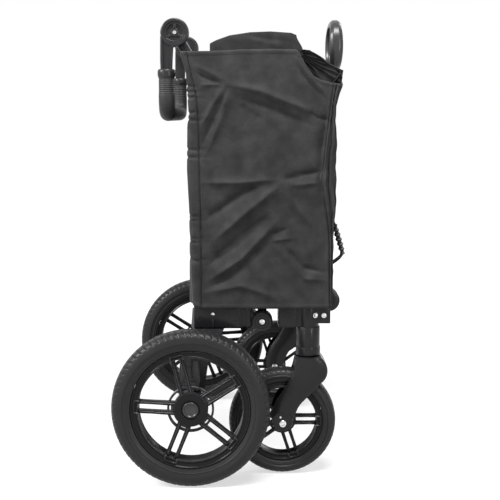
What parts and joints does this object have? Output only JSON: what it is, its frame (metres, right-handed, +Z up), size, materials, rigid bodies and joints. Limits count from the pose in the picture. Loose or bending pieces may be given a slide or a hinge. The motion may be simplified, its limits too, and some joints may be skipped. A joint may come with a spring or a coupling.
{
  "type": "folding wagon",
  "caption": "Fabric folding wagon in its folded state, on fixed rear wheels and swivelling front wheels, with a push handle and a telescopic pull bar",
  "frame": {"origin": "middle of the folded wagon's footprint, on the ground", "axes": "+Z up; +X towards the wagon's front, the way it folds and unfolds; +Y towards its left side"},
  "size_m": [0.456, 0.62, 0.8956],
  "materials": {
    "frame_paint": "black powder coat, half matt",
    "moulded_black": "moulded black plastic, fine grain",
    "wheel_plastic": "black wheel plastic with a soft sheen",
    "tyre_rubber": "black foam-filled tyre, matt",
    "grip_foam": "black ribbed foam rubber",
    "bare_steel": "plated steel",
    "grey_plastic": "light grey moulded plastic",
    "dark_fabric": "dark grey woven polyester, coated inside"
  },
  "bodies": {
    "rear_frame": {"rear_post_right": "frame_paint", "rear_post_left": "frame_paint", "rear_lower_tube": "frame_paint", "rear_upper_tube": "frame_paint", "rear_bracket_right": "moulded_black", "rear_bracket_left": "moulded_black", "rear_leg_right": "moulded_black", "rear_leg_left": "moulded_black", "brake_unit_right": "grey_plastic", "brake_unit_left": "grey_plastic", "rail_bolt_right": "bare_steel", "rail_bolt_left": "bare_steel", "rear_axle": "bare_steel", "rear_wall": "dark_fabric", "side_wall_right": "dark_fabric", "side_wall_left": "dark_fabric"},
    "floor_rear": {"floor_frame_rear": "frame_paint", "floor_mat_rear": "dark_fabric"},
    "floor_front": {"floor_frame_front": "frame_paint", "floor_mat_front": "dark_fabric"},
    "front_frame": {"front_post_right": "frame_paint", "front_post_left": "frame_paint", "front_lower_tube": "frame_paint", "front_upper_tube": "frame_paint", "front_bracket_right": "moulded_black", "front_bracket_left": "moulded_black", "caster_sleeve_right": "moulded_black", "caster_sleeve_left": "moulded_black", "pull_bracket": "moulded_black", "front_wall": "dark_fabric", "strap_buckle": "moulded_black"},
    "side_hem": {"side_hem_right": "dark_fabric", "side_hem_left": "dark_fabric"},
    "push_handle": {"handle_arm_right": "moulded_black", "handle_arm_left": "moulded_black", "handle_bar": "grip_foam"},
    "pull_bar": {"pull_tube_outer": "frame_paint"},
    "pull_slider": {"pull_tube_inner": "bare_steel", "pull_grip": "moulded_black"},
    "caster_right": {"caster_fork_right": "moulded_black", "front_axle_right": "bare_steel"},
    "caster_left": {"caster_fork_left": "moulded_black", "front_axle_left": "bare_steel"},
    "front_wheel_right": {"front_tyre_right": "tyre_rubber", "front_rim_right": "wheel_plastic"},
    "front_wheel_left": {"front_tyre_left": "tyre_rubber", "front_rim_left": "wheel_plastic"},
    "rear_wheel_right": {"rear_tyre_right": "tyre_rubber", "rear_rim_right": "wheel_plastic", "rear_hub_cap_right": "moulded_black", "brake_ring_right": "moulded_black"},
    "rear_wheel_left": {"rear_tyre_left": "tyre_rubber", "rear_rim_left": "wheel_plastic", "rear_hub_cap_left": "moulded_black", "brake_ring_left": "moulded_black"},
    "brake_pedal": {"brake_pedal": "moulded_black"},
    "brake_pin_right": {"brake_pin_right": "bare_steel"},
    "brake_pin_left": {"brake_pin_left": "bare_steel"}
  },
  "joints": [
    {"name": "fold", "type": "hinge", "parent": "rear_frame", "child": "floor_rear", "pos_m": [0.05646, 0, 0.302], "axis": [0, 1, 0], "range_deg": [0, 86.74]},
    {"name": "floor_hinge", "type": "hinge", "parent": "floor_rear", "child": "floor_front", "pos_m": [0.07946, 0, 0.70635], "axis": [0, 1, 0], "range_deg": [-173.48, 0]},
    {"name": "front_pivot", "type": "hinge", "parent": "floor_front", "child": "front_frame", "pos_m": [0.10246, 0, 0.302], "axis": [0, 1, 0], "range_deg": [0, 86.74]},
    {"name": "side_stretch", "type": "slide", "parent": "rear_frame", "child": "side_hem", "axis": [1, 0, 0], "range_m": [0, 0.764], "deforming": ["side_wall_right", "side_wall_left"]},
    {"name": "handle_swing", "type": "hinge", "parent": "rear_frame", "child": "push_handle", "pos_m": [-0.10854, 0, 0.852], "axis": [0, 1, 0], "range_deg": [0, 150]},
    {"name": "pull_swing", "type": "hinge", "parent": "front_frame", "child": "pull_bar", "pos_m": [0.20446, 0, 0.302], "axis": [0, 1, 0], "range_deg": [0, 100]},
    {"name": "pull_extend", "type": "slide", "parent": "pull_bar", "child": "pull_slider", "axis": [0, 0, 1], "range_m": [0, 0.22]},
    {"name": "caster_right_swivel", "type": "hinge", "parent": "front_frame", "child": "caster_right", "pos_m": [0.14646, -0.214, 0.2325], "axis": [0, 0, 1], "range_deg": [-300, 6]},
    {"name": "caster_left_swivel", "type": "hinge", "parent": "front_frame", "child": "caster_left", "pos_m": [0.14646, 0.214, 0.2325], "axis": [0, 0, 1], "range_deg": [-6, 300]},
    {"name": "front_wheel_right_spin", "type": "hinge", "parent": "caster_right", "child": "front_wheel_right", "pos_m": [0.09646, -0.214, 0.10434], "axis": [0, 1, 0], "continuous": true},
    {"name": "front_wheel_left_spin", "type": "hinge", "parent": "caster_left", "child": "front_wheel_left", "pos_m": [0.09646, 0.214, 0.10434], "axis": [0, 1, 0], "continuous": true},
    {"name": "rear_wheel_right_spin", "type": "hinge", "parent": "rear_frame", "child": "rear_wheel_right", "pos_m": [-0.07854, -0.285, 0.14943], "axis": [0, 1, 0], "continuous": true},
    {"name": "rear_wheel_left_spin", "type": "hinge", "parent": "rear_frame", "child": "rear_wheel_left", "pos_m": [-0.07854, 0.285, 0.14943], "axis": [0, 1, 0], "continuous": true},
    {"name": "brake_press", "type": "hinge", "parent": "rear_frame", "child": "brake_pedal", "pos_m": [-0.07254, 0, 0.212], "axis": [0, -1, 0], "range_deg": [0, 18]},
    {"name": "brake_pin_right_slide", "type": "slide", "parent": "rear_frame", "child": "brake_pin_right", "axis": [0, -1, 0], "range_m": [0, 0.008]},
    {"name": "brake_pin_left_slide", "type": "slide", "parent": "rear_frame", "child": "brake_pin_left", "axis": [0, 1, 0], "range_m": [0, 0.008]}
  ],
  "couplings": [
    {"joint": "floor_hinge", "follows": "fold", "ratio": -2},
    {"joint": "front_pivot", "follows": "fold", "ratio": 1},
    {"joint": "side_stretch", "follows": "fold", "m_per_rad": 0.5046},
    {"joint": "brake_pin_right_slide", "follows": "brake_press", "m_per_rad": 0.02546},
    {"joint": "brake_pin_left_slide", "follows": "brake_press", "m_per_rad": 0.02546}
  ]
}
